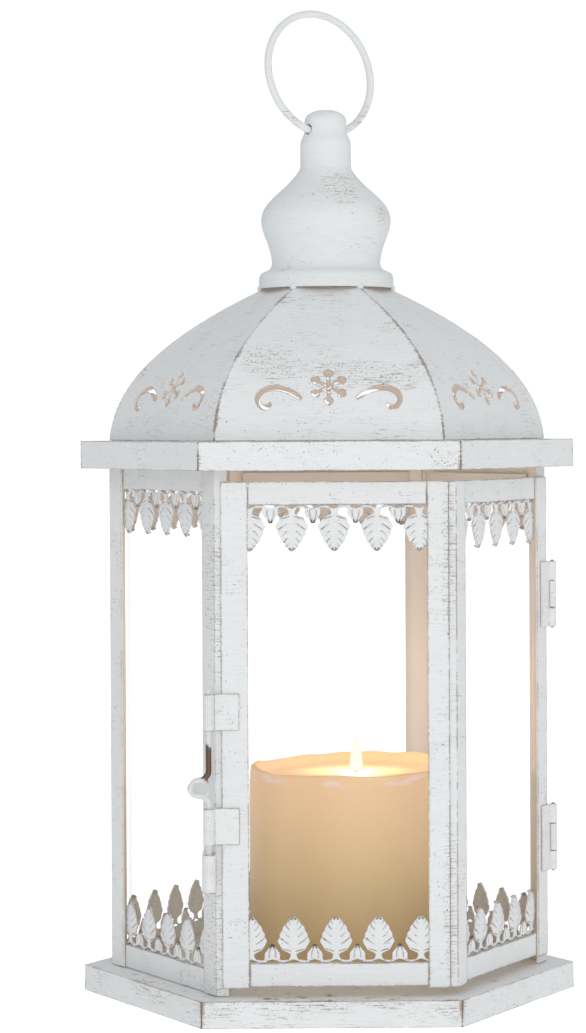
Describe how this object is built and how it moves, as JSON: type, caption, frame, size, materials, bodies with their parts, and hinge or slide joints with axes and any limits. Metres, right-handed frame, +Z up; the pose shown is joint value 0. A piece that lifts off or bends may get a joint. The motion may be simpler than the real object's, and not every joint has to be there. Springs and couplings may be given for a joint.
{
  "type": "candle lantern",
  "caption": "Hexagonal white sheet-metal candle lantern with glazed sides, a hinged door with a wire bolt, a pierced dome roof, a hanging ring and a pillar candle.",
  "frame": {"origin": "on the floor under the lantern's axis, at the centre of the base tray", "axes": "+Z up along the lantern's axis; the door's front side faces -Y and its hinges are at +X"},
  "size_m": [0.181, 0.1568, 0.3605],
  "materials": {
    "distressed_paint": "brushed white paint over metal, worn brown at the edges",
    "stamped_leaves": "white paint with dark dirt in its recesses",
    "pane_glass": "clear",
    "hinge_pin_steel": "plain steel wire",
    "candle_wax": "warm cream wax with a wet pool around its wick"
  },
  "bodies": {
    "lantern": {"base_tray": "distressed_paint", "eave_rim": "distressed_paint", "finial": "distressed_paint", "hinge_lower_frame_leaf": "distressed_paint", "hinge_upper_frame_leaf": "distressed_paint", "latch_keeper": "distressed_paint", "leaf_strip_bottom_back": "stamped_leaves", "leaf_strip_bottom_back_left": "stamped_leaves", "leaf_strip_bottom_back_right": "stamped_leaves", "leaf_strip_bottom_front_left": "stamped_leaves", "leaf_strip_top_back": "stamped_leaves", "leaf_strip_top_back_left": "stamped_leaves", "leaf_strip_top_back_right": "stamped_leaves", "leaf_strip_top_front_left": "stamped_leaves", "pane_back": "pane_glass", "pane_back_left": "pane_glass", "pane_back_right": "pane_glass", "pane_front_left": "pane_glass", "post_back_left": "distressed_paint", "post_back_right": "distressed_paint", "post_front_left": "distressed_paint", "post_left": "distressed_paint", "post_right": "distressed_paint", "rail_bottom_back": "distressed_paint", "rail_bottom_back_left": "distressed_paint", "rail_bottom_back_right": "distressed_paint", "rail_bottom_front_left": "distressed_paint", "rail_top_back": "distressed_paint", "rail_top_back_left": "distressed_paint", "rail_top_back_right": "distressed_paint", "rail_top_front_left": "distressed_paint", "roof_panel_back": "distressed_paint", "roof_panel_back_left": "distressed_paint", "roof_panel_back_right": "distressed_paint", "roof_panel_front": "distressed_paint", "roof_panel_front_left": "distressed_paint", "roof_panel_front_right": "distressed_paint"},
    "door": {"door_corner_post": "distressed_paint", "door_hinge_stile": "distressed_paint", "door_latch_stile": "distressed_paint", "door_leaf_strip_bottom_front": "stamped_leaves", "door_leaf_strip_bottom_side": "stamped_leaves", "door_leaf_strip_top_front": "stamped_leaves", "door_leaf_strip_top_side": "stamped_leaves", "door_middle_stile": "distressed_paint", "door_pane_front": "pane_glass", "door_pane_side": "pane_glass", "door_rail_bottom_front": "distressed_paint", "door_rail_bottom_side": "distressed_paint", "door_rail_top_front": "distressed_paint", "door_rail_top_side": "distressed_paint", "hinge_lower_door_leaf": "distressed_paint", "hinge_lower_pin": "hinge_pin_steel", "hinge_upper_door_leaf": "distressed_paint", "hinge_upper_pin": "hinge_pin_steel", "latch_guide_lower": "distressed_paint", "latch_guide_upper": "distressed_paint"},
    "latch_bolt": {"latch_bolt": "distressed_paint"},
    "ring": {"hanging_ring": "distressed_paint"},
    "candle": {"candle": "candle_wax"}
  },
  "joints": [
    {"name": "door_hinge", "type": "hinge", "parent": "lantern", "child": "door", "pos_m": [0.0827, 0, 0.1], "axis": [0, 0, 1], "range_deg": [0, 210]},
    {"name": "bolt_slide", "type": "slide", "parent": "door", "child": "latch_bolt", "axis": [0, 0, 1], "range_m": [0, 0.0125]},
    {"name": "ring_swing", "type": "hinge", "parent": "lantern", "child": "ring", "pos_m": [0, 0, 0.31573], "axis": [0.829, 0.5592, 0], "range_deg": [-128.5, 147.5]},
    {"name": "candle_lift", "type": "slide", "parent": "lantern", "child": "candle", "axis": [0, 0, 1], "range_m": [0, 0.03]}
  ]
}
